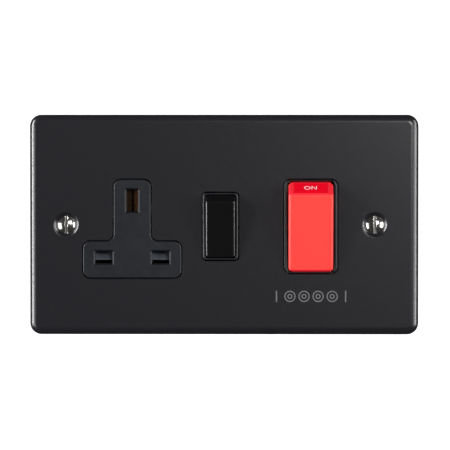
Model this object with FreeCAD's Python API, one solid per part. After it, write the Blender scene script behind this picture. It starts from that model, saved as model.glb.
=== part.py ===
import FreeCAD, Part
import math
import os

# Cooker control unit: a cooker isolating switch and a switched socket on one twin-gang wall plate.
# Millimetres. X to the right, Z up, Y 0 on the wall and -Y towards the room.
# The origin is midway between the two fixing screws. Both switches are drawn on, their rest.
Vector = FreeCAD.Vector
ACROSS = Vector(1, 0, 0)
BACKWARD = Vector(0, 1, 0)
UP = Vector(0, 0, 1)

# Air and fits
gap = 0.3
seat_gap = 0.1
slide_fit = 0.15
pivot_fit = 0.05

# Wall plate, a dish of pressed steel
plate_width = 152.0
plate_height = 86.0
plate_depth = 4.5
plate_sheet = 1.1
plate_corner = 4.5
plate_edge = 1.6
plate_shift = 1.4
lug_width = 6.0
lug_hook = 2.0
lug_sheet = 0.8
lug_spread = 50.0

# Fixing screws, raised countersunk with one slot
screw_pitch = 120.6
screw_head_r = 3.5
screw_dome = 0.9
screw_shank_r = 1.75
screw_neck_r = 1.55
screw_length = 25.0
screw_hole_air = 0.2
slot_width = 0.9
slot_depth = 0.8
dimple_r = 4.85

# Front moulding: the socket face, both bezels and the flange behind the plate
flange_width = 114.0
flange_margin = 6.0
flange_depth = 2.5
flange_corner = 3.0
face_proud = 0.3
face_width = 39.0
face_height = 39.0
face_bevel = 0.4
stem_width = 15.0
arm_height = 14.9
face_corner = 3.2
face_fillet = 2.5
face_middle_z = -1.6
bezel_proud = 0.6
bezel_bevel = 0.25
boss_half = 2.4
boss_length = 6.0
pilot_r = 1.3

# Pins of the plug that the socket takes
socket_x = -34.5
earth_z = 9.4
pin_spacing = 22.23
earth_pin_width = 4.0
earth_pin_height = 8.0
line_pin_width = 6.35
line_pin_height = 4.0
pin_air = 0.5
lead_in = 0.2

# Shutter and its cover
shutter_depth = 3.0
shutter_side = 4.0
shutter_lip = 1.0
shutter_sill = 2.6
window_height = 5.0
shutter_head = 1.8
shutter_travel = 5.1
ramp_toe = 0.4
cover_wall = 1.3
spring_r = 1.6
spring_wire = 0.5
spring_turns = 3
spring_sides = 8

# Both switches
switch_z = -0.65
rocker_wall = 1.5
rocker_bevel = 0.35
slope_lean = 66.0
corner_proud = 0.3
bezel_side = 1.2
trunnion_length = 1.6
ear_sheet = 1.8

# Cooker switch, double pole
cooker_x = 35.3
cooker_width = 18.0
cooker_reach = 19.8
cooker_face_ahead = 12.45
cooker_slope_depth = 7.0
cooker_skirt = 3.5
cooker_tilt = 11.0
cooker_bezel_end = 0.5
cooker_bezel_corner = 2.4
cooker_trunnion_r = 1.5
cooker_lug_r = 3.0
cooker_plunger_r = 1.85
cooker_guide = 3.0
pole_margin = 7.0
cooker_arm_share = 0.438

# Socket switch, single pole
socket_switch_x = 0.0
socket_switch_width = 11.5
socket_switch_reach = 13.3
socket_switch_face_ahead = 7.35
socket_switch_slope_depth = 4.0
socket_switch_skirt = 1.6
socket_switch_tilt = 9.0
socket_switch_bezel_end = 0.95
socket_switch_bezel_corner = 1.5
socket_switch_trunnion_r = 1.25
socket_switch_lug_r = 2.2
socket_switch_plunger_r = 1.5
socket_switch_guide = 7.0
socket_switch_arm_share = 0.303

# Plungers, contact arms and their tips
plunger_gap = 0.12
guide_wall = 1.0
plunger_stem = 5.0
nose_r = 0.8
nose_length = 1.6
arm_swing = 5.0
arm_sheet = 1.2
arm_width = 5.0
ridge_r = 1.0
tip_half = 1.6
tip_inset = 2.0
tip_height = 0.5

# Rear housing, and the layers of brass in front of its back wall
pillar_air = 0.4
housing_margin = 5.5
housing_depth = 24.0
housing_wall = 1.8
housing_corner = 2.5
pillar_half = 2.8
post_half = 1.2
bar = 0.8
bar_width = 3.0
wall_air = 0.6
layer_air = 1.0

# Housing screws, from behind
case_screw_r = 1.25
case_screw_head_r = 2.4
case_screw_head = 1.6
case_screw_bite = 5.0

# Cable terminals with a clamp screw each
terminal_air = 2.0
terminal_share = 0.384
terminal_side = 1.2
bore_floor = 1.4
terminal_front_wall = 1.3
terminal_rear_wall = 2.3
clamp_air = 0.8
clamp_stand = 1.2
funnel_wall = 1.2
funnel_margin = 1.5
notch_air = 0.5
earth_terminal_x = 12.0

# Contact clips
clip_sheet = 0.8
clip_close = 1.65
clip_ease = 0.3
clip_flare = 0.9
clip_lip = 2.2
strap_width = 3.0
strap_x = 2.5

# Places that follow from the sizes
front = -plate_depth
flange_front = front + plate_sheet
flange_back = flange_front + flange_depth
flange_height = plate_height - 2 * flange_margin
housing_height = flange_height - 2 * housing_margin
face_front = front - face_proud
bezel_front = front - bezel_proud
inner_back = housing_depth - housing_wall
inner_half_height = housing_height / 2 - housing_wall
earth_layer = inner_back - wall_air - bar
feed_layer = earth_layer - layer_air - bar
switch_layer = feed_layer - layer_air - bar
line_z = earth_z - pin_spacing
line_x = socket_x + pin_spacing / 2
neutral_x = socket_x - pin_spacing / 2
pole_spacing = cooker_width - pole_margin
line_pole_x = cooker_x + pole_spacing / 2
neutral_pole_x = cooker_x - pole_spacing / 2
terminal_width = pole_spacing - terminal_air
terminal_height = terminal_share * inner_half_height
cable_bore_r = terminal_width / 2 - terminal_side
cable_bore_depth = terminal_height - bore_floor
terminal_end = inner_half_height - gap
terminal_foot = terminal_end - terminal_height
terminal_z = terminal_end - terminal_height / 2
terminal_back = earth_layer
access_half = terminal_height / 2 - funnel_wall - funnel_margin
clamp_r = access_half - clamp_air
bore_y = terminal_back - terminal_rear_wall - cable_bore_r
terminal_front = bore_y - cable_bore_r - terminal_front_wall
terminal_side_need = line_pole_x + terminal_width / 2 + pillar_air + pillar_half + boss_half + gap
cover_half = pin_spacing / 2 + shutter_side + slide_fit + cover_wall
inner_half_width = max(terminal_side_need, cover_half - socket_x + seat_gap)
housing_width = 2 * (inner_half_width + housing_wall)
cover_back = flange_back + gap + shutter_depth + gap + cover_wall
shutter_front = flange_back + gap
spring_length = inner_half_height + line_z - shutter_lip - 2 * seat_gap - cover_wall - gap


def box(x0, x1, y0, y1, z0, z1):
    return Part.makeBox(x1 - x0, y1 - y0, z1 - z0, Vector(x0, y0, z0))


def rod(radius, start, axis, length):
    return Part.makeCylinder(radius, length, start, axis)


def prism_across(points, x0, x1):
    """A solid whose (y, z) outline is pushed along X."""
    wire = Part.makePolygon([Vector(x0, y, z) for y, z in points + points[:1]])
    return Part.Face(wire).extrude(ACROSS * (x1 - x0))


def prism_back(points, y0, y1):
    """A solid whose (x, z) outline is pushed along Y."""
    wire = Part.makePolygon([Vector(x, y0, z) for x, z in points + points[:1]])
    return Part.Face(wire).extrude(BACKWARD * (y1 - y0))


def edges_at_y(shape, y):
    tiny = 1e-4
    return [e for e in shape.Edges if all(abs(v.Y - y) < tiny for v in e.Vertexes)]


def edges_along_y(shape):
    tiny = 1e-4
    return [
        e
        for e in shape.Edges
        if len(e.Vertexes) == 2
        and abs(e.Vertexes[0].X - e.Vertexes[1].X) < tiny
        and abs(e.Vertexes[0].Z - e.Vertexes[1].Z) < tiny
    ]


def rounded_block(width, height, y0, y1, corner, x=0.0, z=0.0):
    block = box(x - width / 2, x + width / 2, y0, y1, z - height / 2, z + height / 2)
    return block.makeFillet(corner, edges_along_y(block))


def turned_back(points, x, z):
    """A turned solid from (radius, y) points, on an axis along Y through x and z."""
    wire = Part.makePolygon([Vector(x + r, y, z) for r, y in points + points[:1]])
    return Part.Face(wire).revolve(Vector(x, 0, z), BACKWARD, 360)


def square_coil(start, axis, radius, wire, turns, length):
    """A compression spring of square wire, wound from start in short straight runs."""
    aside = Vector(1, 0, 0)
    across = axis.cross(aside)
    steps = turns * spring_sides
    rings = []
    for step in range(steps + 1):
        angle = 2 * math.pi * step / spring_sides
        outward = aside * math.cos(angle) + across * math.sin(angle)
        low = start + axis * ((length - wire) * step / steps)
        high = low + axis * wire
        near = outward * (radius - wire / 2)
        far = outward * (radius + wire / 2)
        rings.append([low + near, low + far, high + far, high + near])
    faces = [flat_face(rings[0]), flat_face(rings[-1])]
    for first, second in zip(rings, rings[1:]):
        for a, b in ((0, 1), (1, 2), (2, 3), (3, 0)):
            faces.append(flat_face([first[a], first[b], second[b]]))
            faces.append(flat_face([first[a], second[b], second[a]]))
    solid = Part.makeSolid(Part.makeShell(faces))
    if solid.Volume < 0:
        solid.reverse()
    return solid


def flat_face(corners):
    return Part.Face(Part.makePolygon(corners + corners[:1]))


class Switch:
    """Where a rocker, its opening and its contact arm lie, from the switch's own sizes."""

    def __init__(self, x, width, reach, face_ahead, slope_depth, skirt, tilt, bezel_end, bezel_corner,
                 trunnion_r, lug_r, plunger_r, guide, arm_share):
        turn = math.radians(tilt)
        swing = math.radians(arm_swing)
        self.x = x
        self.width = width
        self.reach = reach
        self.face_ahead = face_ahead
        self.slope_depth = slope_depth
        self.skirt = skirt
        self.tilt = tilt
        self.bezel_corner = bezel_corner
        self.trunnion_r = trunnion_r
        self.lug_r = lug_r
        self.plunger_r = plunger_r
        self.guide = guide
        self.arm_half = arm_share * inner_half_height
        self.tip_z = self.arm_half - tip_inset
        self.face_half = math.sqrt(reach**2 - face_ahead**2)
        sunk_corner = face_ahead * math.cos(turn) - self.face_half * math.sin(turn)
        self.pivot_y = bezel_front - corner_proud + sunk_corner
        self.pivot = Vector(x, self.pivot_y, switch_z)
        self.opening_r = reach + slide_fit
        self.opening_half_width = width / 2 + slide_fit
        self.opening_half = math.sqrt(self.opening_r**2 - (self.pivot_y - bezel_front) ** 2)
        self.bezel_width = 2 * (self.opening_half_width + bezel_side)
        self.bezel_height = 2 * (self.opening_half + bezel_end)
        tip_lift = (ridge_r + pivot_fit - tip_height) * math.cos(swing)
        tip_sink = (self.tip_z + tip_half) * math.sin(swing) - tip_lift
        self.arm_axis_y = switch_layer - tip_height - seat_gap - tip_sink
        self.arm_back = self.arm_axis_y - ridge_r - pivot_fit
        self.arm_front = self.arm_back - arm_sheet
        self.plunger_tip = self.arm_front - plunger_gap - self.pivot_y
        self.plunger_start = self.plunger_tip - plunger_stem - guide

    def rest(self, shape):
        """Turn a rocker piece, made level, to the switch's on position."""
        shape.rotate(self.pivot, ACROSS, self.tilt)
        return shape

    def arm_rest(self, shape):
        shape.rotate(Vector(self.x, self.arm_axis_y, switch_z), ACROSS, -arm_swing)
        return shape


cooker = Switch(cooker_x, cooker_width, cooker_reach, cooker_face_ahead, cooker_slope_depth, cooker_skirt,
                cooker_tilt, cooker_bezel_end, cooker_bezel_corner, cooker_trunnion_r, cooker_lug_r,
                cooker_plunger_r, cooker_guide, cooker_arm_share)
outlet = Switch(socket_switch_x, socket_switch_width, socket_switch_reach, socket_switch_face_ahead,
                socket_switch_slope_depth, socket_switch_skirt, socket_switch_tilt, socket_switch_bezel_end,
                socket_switch_bezel_corner, socket_switch_trunnion_r, socket_switch_lug_r,
                socket_switch_plunger_r, socket_switch_guide, socket_switch_arm_share)


def screw_places():
    return [-screw_pitch / 2, screw_pitch / 2]


def socket_face(grow, y0, y1):
    """The socket's face, an upside-down T, with its corners rounded in the front view."""
    half = face_width / 2 + grow
    stem = stem_width / 2 + grow
    low = face_middle_z - face_height / 2 - grow
    high = face_middle_z + face_height / 2 + grow
    shoulder = face_middle_z - face_height / 2 + arm_height + grow
    left = [(-half, low), (-half, shoulder), (-stem, shoulder), (-stem, high)]
    right = [(-x, z) for x, z in reversed(left)]
    block = prism_back([(socket_x + x, z) for x, z in left + right], y0, y1)
    uprights = edges_along_y(block)
    inner = [e for e in uprights if abs(abs(e.Vertexes[0].X - socket_x) - stem) < slide_fit
             and abs(e.Vertexes[0].Z - shoulder) < slide_fit]
    outer = [e for e in uprights if not any(e.isSame(other) for other in inner)]
    block = block.makeFillet(face_corner + grow, outer)
    inner = [e for e in edges_along_y(block) if abs(abs(e.Vertexes[0].X - socket_x) - stem) < slide_fit
             and abs(e.Vertexes[0].Z - shoulder) < slide_fit]
    return block.makeFillet(face_fillet - grow, inner)


def bezel_block(switch, grow, y0, y1):
    return rounded_block(switch.bezel_width + 2 * grow, switch.bezel_height + 2 * grow, y0, y1,
                         switch.bezel_corner + grow, switch.x, switch_z)


def dimple(x):
    """The cone that a fixing screw's head lies in."""
    narrow = screw_shank_r + screw_hole_air
    end = front + dimple_r - narrow
    return turned_back([(0, front), (dimple_r, front), (narrow, end), (0, end)], x, 0)


def front_plate():
    dish = rounded_block(plate_width, plate_height, front, 0, plate_corner, plate_shift)
    dish = dish.makeFillet(plate_edge, edges_at_y(dish, front))
    hollow = rounded_block(plate_width - 2 * plate_sheet, plate_height - 2 * plate_sheet, flange_front, 0,
                           plate_corner - plate_sheet, plate_shift)
    plate = dish.cut(hollow)
    for x in screw_places():
        plate = plate.fuse(rod(dimple_r, Vector(x, flange_front, 0), BACKWARD, -seat_gap - flange_front))
        plate = plate.cut(dimple(x))
        plate = plate.cut(rod(screw_shank_r + screw_hole_air, Vector(x, front, 0), BACKWARD, plate_depth))
    for side in (-1, 1):
        for x in (-lug_spread / 2, lug_spread / 2):
            plate = plate.fuse(clamp_lug(x, side))
    plate = plate.cut(socket_face(slide_fit, front - gap, flange_front))
    for switch in (cooker, outlet):
        plate = plate.cut(bezel_block(switch, slide_fit, front - gap, flange_front))
    return plate.removeSplitter()


def clamp_lug(x, side):
    """A tab on the back of the plate, bent over the moulding's flange."""
    near = side * (flange_height / 2 + slide_fit)
    far = near + side * lug_sheet
    tip = side * (flange_height / 2 - lug_hook)
    last = flange_back + lug_sheet
    upright = box(x - lug_width / 2, x + lug_width / 2, flange_front, last, min(near, far), max(near, far))
    hook = box(x - lug_width / 2, x + lug_width / 2, flange_back, last, min(tip, far), max(tip, far))
    return upright.fuse(hook)


def fixing_screws():
    shoulder = front + dimple_r - screw_head_r - seat_gap
    throat = shoulder + screw_head_r - screw_neck_r
    end = front + screw_length
    thread = -seat_gap
    dome = [(screw_head_r * r, shoulder - screw_dome * (1 - r * r)) for r in (0, 1 / 2, 1)]
    screws = []
    for x in screw_places():
        neck = [(screw_neck_r, throat), (screw_neck_r, thread)]
        body = turned_back(dome + neck + [(screw_shank_r, thread), (screw_shank_r, end), (0, end)], x, 0)
        slot = box(x - slot_width / 2, x + slot_width / 2, shoulder - screw_dome,
                   shoulder - screw_dome + slot_depth, -screw_head_r, screw_head_r)
        screws.append(body.cut(slot))
    return Part.makeCompound(screws)


def pin_slot(x, z, width, height, y0, y1):
    """A slot for one pin, with its mouth bevelled at the front."""
    half_width = width / 2 + pin_air
    half_height = height / 2 + pin_air
    throat = box(x - half_width, x + half_width, y0, y1, z - half_height, z + half_height)
    mouth = [Vector(x + a * (half_width + lead_in), y0, z + b * (half_height + lead_in))
             for a, b in ((-1, -1), (1, -1), (1, 1), (-1, 1))]
    inner = [Vector(x + a * half_width, y0 + lead_in, z + b * half_height)
             for a, b in ((-1, -1), (1, -1), (1, 1), (-1, 1))]
    bevel = Part.makeLoft([Part.makePolygon(mouth + mouth[:1]), Part.makePolygon(inner + inner[:1])], True)
    return throat.fuse(bevel)


def opening_for(switch, y1):
    """The room for a rocker: flat sides, and round ends struck from its pivot."""
    sides = switch.opening_half_width
    block = box(switch.x - sides, switch.x + sides, bezel_front - gap, y1, switch_z - switch.opening_r,
                switch_z + switch.opening_r)
    barrel = rod(switch.opening_r, switch.pivot - ACROSS * sides, ACROSS, 2 * sides)
    return block.common(barrel)


def rocker_ears(switch):
    """The two bearings behind the flange that hold a rocker's trunnions."""
    ears = []
    for side in (-1, 1):
        x0, x1 = sorted(switch.x + side * (switch.opening_half_width + out) for out in (0, ear_sheet))
        ears.append(box(x0, x1, flange_back, switch.pivot_y + switch.lug_r, switch_z - switch.lug_r,
                        switch_z + switch.lug_r))
    return ears


def bearing_holes(switch):
    reach = switch.opening_half_width + ear_sheet
    return rod(switch.trunnion_r + pivot_fit, switch.pivot - ACROSS * reach, ACROSS, 2 * reach)


def pillar_places():
    """Three corners where the housing and the moulding meet; the shutter's cover has the fourth."""
    x = inner_half_width - boss_half - gap
    z = inner_half_height - boss_half - gap
    return [(-x, z), (x, -z), (x, z)]


def pillar_foot():
    return inner_half_height - boss_half - gap - pillar_half


def screwed_pillars():
    """The pair at opposite corners that takes the housing screws."""
    return pillar_places()[:2]


def front_moulding():
    body = rounded_block(flange_width, flange_height, flange_front, flange_back, flange_corner)
    clear_r = dimple_r + gap
    for x in screw_places():
        body = body.cut(rod(clear_r, Vector(x, flange_front, 0), BACKWARD, flange_depth))
    face = socket_face(0.0, face_front, flange_back)
    body = body.fuse(face.makeChamfer(face_bevel, edges_at_y(face, face_front)))
    for switch in (cooker, outlet):
        ring = bezel_block(switch, 0.0, bezel_front, flange_back)
        body = body.fuse(ring.makeChamfer(bezel_bevel, edges_at_y(ring, bezel_front)))
    for x, z in pillar_places():
        body = body.fuse(box(x - boss_half, x + boss_half, flange_back, flange_back + boss_length,
                             z - boss_half, z + boss_half))
    for switch in (cooker, outlet):
        body = body.cut(opening_for(switch, flange_back))
        body = body.fuse(rocker_ears(switch))
        body = body.cut(bearing_holes(switch))
    for x, z in screwed_pillars():
        body = body.cut(rod(pilot_r, Vector(x, flange_back, z), BACKWARD, boss_length))
    body = body.cut(pin_slot(socket_x, earth_z, earth_pin_width, earth_pin_height, face_front, flange_back))
    for x in (line_x, neutral_x):
        body = body.cut(pin_slot(x, line_z, line_pin_width, line_pin_height, face_front, flange_back))
    return body.removeSplitter()


def rocker(switch, plunger_xs):
    """A hollow rocker with sloped ends, trunnions at its sides and a guide for each plunger."""
    y = switch.pivot_y
    lean = math.tan(math.radians(slope_lean))
    end_half = switch.face_half + switch.slope_depth / lean
    face_y = y - switch.face_ahead
    slope_y = face_y + switch.slope_depth
    skirt_y = slope_y + switch.skirt
    x0 = switch.x - switch.width / 2
    x1 = switch.x + switch.width / 2
    top = [(face_y, switch.face_half), (slope_y, end_half), (skirt_y, end_half)]
    outline = top + [(a, -b) for a, b in reversed(top)]
    body = prism_across([(a, switch_z + b) for a, b in outline], x0, x1)
    front_edges = [e for e in body.Edges if e.BoundBox.YMin < face_y + gap]
    body = body.makeChamfer(rocker_bevel, front_edges)
    inner = [(face_y + rocker_wall, switch.face_half - rocker_wall), (skirt_y, end_half - rocker_wall)]
    inner = inner + [(a, -b) for a, b in reversed(inner)]
    body = body.cut(prism_across([(a, switch_z + b) for a, b in inner], x0 + rocker_wall, x1 - rocker_wall))
    for side in (-1, 1):
        outer = switch.x + side * switch.width / 2
        low = min(outer, outer - side * rocker_wall)
        lug = box(low, low + rocker_wall, skirt_y - rocker_wall, y + switch.lug_r, switch_z - switch.lug_r,
                  switch_z + switch.lug_r)
        pin = rod(switch.trunnion_r, Vector(outer - side * rocker_wall, y, switch_z), ACROSS * side,
                  rocker_wall + trunnion_length)
        body = body.fuse(lug).fuse(pin)
    for x in plunger_xs:
        guide_end = y + switch.plunger_start + switch.guide
        half = switch.plunger_r + slide_fit + guide_wall
        body = body.fuse(box(x - half, x + half, face_y + rocker_wall / 2, guide_end, switch_z - half,
                             switch_z + half))
    for x in plunger_xs:
        start = Vector(x, face_y + rocker_wall, switch_z)
        hole_length = switch.face_ahead + switch.plunger_tip
        body = body.cut(rod(switch.plunger_r + slide_fit, start, BACKWARD, hole_length))
    return switch.rest(body.removeSplitter())


def plunger(switch, x):
    """A stepped pin that slides in the rocker, its nose on the contact arm."""
    start = Vector(x, switch.pivot_y + switch.plunger_start, switch_z)
    length = switch.plunger_tip - switch.plunger_start
    body = rod(switch.plunger_r, start, BACKWARD, length - nose_length)
    return switch.rest(body.fuse(rod(nose_r, start, BACKWARD, length)))


def plunger_spring(switch, x):
    start = Vector(x, switch.pivot_y - switch.face_ahead + rocker_wall + seat_gap, switch_z)
    length = switch.pivot_y + switch.plunger_start - seat_gap - start.y
    radius = switch.plunger_r - spring_wire
    return switch.rest(square_coil(start, BACKWARD, radius, spring_wire, spring_turns, length))


def contact_arm(switch, x):
    """A straight brass strip that rocks on the fulcrum, with its corners cut off."""
    half = switch.arm_half
    arm = box(x - arm_width / 2, x + arm_width / 2, switch.arm_front, switch.arm_back, switch_z - half,
              switch_z + half)
    return switch.arm_rest(arm.makeChamfer(arm_width / 4, edges_along_y(arm)))


def moving_tip(switch, x):
    z = switch_z + switch.tip_z
    tip = box(x - tip_half, x + tip_half, switch.arm_back, switch.arm_back + tip_height, z - tip_half,
              z + tip_half)
    return switch.arm_rest(tip)


def fixed_tips():
    tips = []
    for switch, x in ((cooker, line_pole_x), (cooker, neutral_pole_x), (outlet, outlet.x)):
        z = switch_z + switch.tip_z
        tips.append(box(x - tip_half, x + tip_half, switch_layer - tip_height, switch_layer, z - tip_half,
                        z + tip_half))
    return Part.makeCompound(tips)


def fulcrum(switch, x):
    """The ridge that a contact arm rocks on."""
    half = arm_width / 2
    wall = box(x - half, x + half, switch.arm_axis_y, switch_layer + bar, switch_z - ridge_r,
               switch_z + ridge_r)
    return wall.fuse(rod(ridge_r, Vector(x - half, switch.arm_axis_y, switch_z), ACROSS, 2 * half))


def supply_strip(x):
    """The strip from a supply terminal to a fixed contact of the cooker switch."""
    foot = switch_z + cooker.tip_z - tip_half
    return box(x - arm_width / 2, x + arm_width / 2, switch_layer, switch_layer + bar, foot, terminal_foot)


def load_strip(x):
    """The strip from a load terminal up to the fulcrum of the cooker switch."""
    strip = box(x - arm_width / 2, x + arm_width / 2, switch_layer, switch_layer + bar, -terminal_foot,
                switch_z + ridge_r + bar)
    return strip.fuse(fulcrum(cooker, x)).removeSplitter()


def terminal(x, side):
    """A brass block with a blind bore for the cable and a threaded hole for the clamp screw."""
    z0, z1 = sorted((side * terminal_foot, side * terminal_end))
    block = box(x - terminal_width / 2, x + terminal_width / 2, terminal_front, terminal_back, z0, z1)
    block = block.cut(rod(cable_bore_r, Vector(x, bore_y, side * terminal_end), UP * -side, cable_bore_depth))
    centre = Vector(x, bore_y, side * terminal_z)
    return block.cut(rod(clamp_r + pivot_fit, centre, BACKWARD, terminal_back - bore_y))


def terminal_xs():
    return [earth_terminal_x, neutral_pole_x, line_pole_x]


def clamp_screws():
    screws = []
    tip_y = bore_y + cable_bore_r + seat_gap
    end_y = terminal_back + clamp_stand
    for x in terminal_xs():
        for side in (-1, 1):
            screws.append(rod(clamp_r, Vector(x, tip_y, side * terminal_z), BACKWARD, end_y - tip_y))
    return Part.makeCompound(screws)


def line_lane():
    return switch_z + cooker.tip_z + tip_half, switch_z + cooker.tip_z + tip_half + bar_width


def line_busbar():
    """From the supply line terminal across to the fixed contact of the socket's switch."""
    z0, z1 = line_lane()
    half = arm_width / 2
    lane = box(outlet.x - half, line_pole_x + half, feed_layer, feed_layer + bar, z0, z1)
    riser = box(line_pole_x - half, line_pole_x + half, feed_layer, feed_layer + bar, z0, terminal_foot)
    fold = box(outlet.x - half, outlet.x + half, switch_layer, feed_layer + bar, z1 - bar, z1)
    foot = switch_z + outlet.tip_z - tip_half
    landing = box(outlet.x - half, outlet.x + half, switch_layer, switch_layer + bar, foot, z1)
    return lane.fuse([riser, fold, landing]).removeSplitter()


def neutral_busbar():
    """From the supply neutral terminal over the earth clip and down to the neutral contact."""
    near_z = line_lane()[1] + gap * 3
    far_z = clip_top(earth_z, earth_pin_height) + gap
    left = neutral_x - clip_half(line_pin_width) - clip_sheet
    joint = outlet.x - arm_width / 2 - gap * 3
    low = min(near_z, far_z)
    far_top = min(far_z + bar_width, pillar_foot() - gap)
    high = max(terminal_foot, far_top)
    near = box(joint - arm_width, neutral_pole_x + arm_width / 2, feed_layer, feed_layer + bar, near_z,
               terminal_foot)
    step = box(joint - arm_width, joint, feed_layer, feed_layer + bar, low, high)
    far = box(left, joint, feed_layer, feed_layer + bar, far_z, far_top)
    drop = box(left, left + arm_width, feed_layer, feed_layer + bar, clip_top(line_z, line_pin_height), far_z)
    return near.fuse([step, far, drop]).removeSplitter()


def clip_top(z, pin_height):
    return z + pin_height / 2 + clip_ease


def clip_half(pin_width):
    """Half the width of a clip's base, outside its leaves."""
    return pin_width / 2 + clip_flare


def contact_clip(x, z, pin_width, pin_height, lip_y, base_y):
    """A folded brass clip: two sprung leaves that close towards the throat, and a web behind them."""
    half = clip_half(pin_width)
    throat = pin_width / 2 - clip_close
    throat_y = lip_y + clip_lip
    tall = clip_top(0.0, pin_height)
    shapes = [box(x - half - clip_sheet, x + half + clip_sheet, base_y, base_y + bar, z - tall, z + tall)]
    for side in (-1, 1):
        inner = [(half - clip_ease, lip_y), (throat, throat_y), (half, base_y)]
        outer = [(a + clip_sheet, b) for a, b in reversed(inner)]
        wire = Part.makePolygon([Vector(x + side * a, b, z - tall) for a, b in inner + outer + inner[:1]])
        shapes.append(Part.Face(wire).extrude(UP * (2 * tall)))
    return shapes[0].fuse(shapes[1:]).removeSplitter()


def earth_contact():
    """The earth clip and its strap, which runs right to the earth bar."""
    lip_y = flange_back + 2 * gap
    clip = contact_clip(socket_x, earth_z, earth_pin_width, earth_pin_height, lip_y, earth_layer)
    start = socket_x + clip_half(earth_pin_width)
    over_post = switch_z + outlet.tip_z + tip_half / 2 + gap
    low = max(earth_z - bar_width / 2, over_post)
    strap = box(start, earth_terminal_x - bar_width / 2, earth_layer, earth_layer + bar, low, low + bar_width)
    return clip.fuse(strap).removeSplitter()


def neutral_contact():
    return contact_clip(neutral_x, line_z, line_pin_width, line_pin_height, cover_back + gap, feed_layer)


def line_contact():
    """The line clip, with the strap up to the fulcrum of the socket's switch."""
    clip = contact_clip(line_x, line_z, line_pin_width, line_pin_height, cover_back + gap, switch_layer)
    half = arm_width / 2
    across = box(line_x, outlet.x + half, switch_layer, switch_layer + bar, line_z - bar_width / 2,
                 line_z + bar_width / 2)
    riser = box(outlet.x - half, outlet.x + half, switch_layer, switch_layer + bar, line_z - bar_width / 2,
                switch_z + ridge_r + bar)
    return clip.fuse([across, riser, fulcrum(outlet, outlet.x)]).removeSplitter()


def earth_bar():
    """The strip behind both earth terminals, with a tab that meets the plate's strap."""
    reach = terminal_foot + bar
    half = bar_width / 2
    strip = box(earth_terminal_x - half, earth_terminal_x + half, earth_layer, earth_layer + bar,
                -reach, reach)
    tab = box(strap_x - strap_width / 2, earth_terminal_x, earth_layer, earth_layer + bar,
              reach - bar_width, reach)
    return strip.fuse(tab).removeSplitter()


def plate_earth_strap():
    """A folded strip from the back of the plate, over the flange and the housing, to the earth bar."""
    x0 = strap_x - strap_width / 2
    x1 = strap_x + strap_width / 2
    over = flange_height / 2 + slide_fit
    roof = housing_height / 2
    tab = box(x0, x1, flange_front, flange_front + lug_sheet, over, over + bar_width)
    down = box(x0, x1, flange_front, flange_back + lug_sheet, over, over + lug_sheet)
    behind = box(x0, x1, flange_back, flange_back + lug_sheet, roof, over + lug_sheet)
    along = box(x0, x1, flange_back, earth_layer + bar, roof, roof + lug_sheet)
    end = box(x0, x1, earth_layer, earth_layer + bar, terminal_foot + bar, roof + lug_sheet)
    return tab.fuse([down, behind, along, end]).removeSplitter()


def shutter():
    """The shutter: a plate with a ramp and a window for each of the two lower pins."""
    half = pin_spacing / 2 + shutter_side
    low = line_z - shutter_lip
    sill = line_z + shutter_sill
    high = sill + window_height + shutter_head
    back = shutter_front + shutter_depth
    plate = box(socket_x - half, socket_x + half, shutter_front, back, low, high)
    for x in (line_x, neutral_x):
        reach = line_pin_width / 2 + pin_air
        slope = [(shutter_front, low + ramp_toe), (back - ramp_toe, sill), (shutter_front, sill)]
        plate = plate.cut(prism_across(slope, x - reach, x + reach))
        plate = plate.cut(box(x - reach, x + reach, shutter_front, back, sill, sill + window_height))
    return plate


def shutter_cover():
    """The tray behind the face that the shutter slides in, with a pocket below for its spring."""
    half = cover_half - cover_wall
    high = line_z + shutter_sill + window_height + shutter_head + gap
    low = line_z - shutter_lip - shutter_travel - gap
    floor_y = shutter_front + shutter_depth + gap
    pocket_low = line_z - shutter_lip - spring_length - 2 * seat_gap
    pocket = spring_r + slide_fit
    tray = box(socket_x - cover_half, socket_x + cover_half, flange_back, cover_back,
               low - cover_wall, high + cover_wall)
    outside = pocket + cover_wall
    tray = tray.fuse(box(socket_x - outside, socket_x + outside, flange_back, cover_back,
                         pocket_low - cover_wall, low))
    tray = tray.cut(box(socket_x - half, socket_x + half, flange_back, floor_y, low, high))
    tray = tray.cut(box(socket_x - pocket, socket_x + pocket, flange_back, floor_y, pocket_low, low))
    for x in (line_x, neutral_x):
        wide = line_pin_width / 2 + 2 * pin_air
        tall = line_pin_height / 2 + 2 * pin_air
        tray = tray.cut(box(x - wide, x + wide, floor_y, cover_back, line_z - tall, line_z + tall))
    return tray.removeSplitter()


def shutter_spring():
    start = Vector(socket_x, shutter_front + shutter_depth / 2, line_z - shutter_lip - seat_gap)
    return square_coil(start, UP * -1, spring_r - spring_wire, spring_wire, spring_turns, spring_length)


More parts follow.
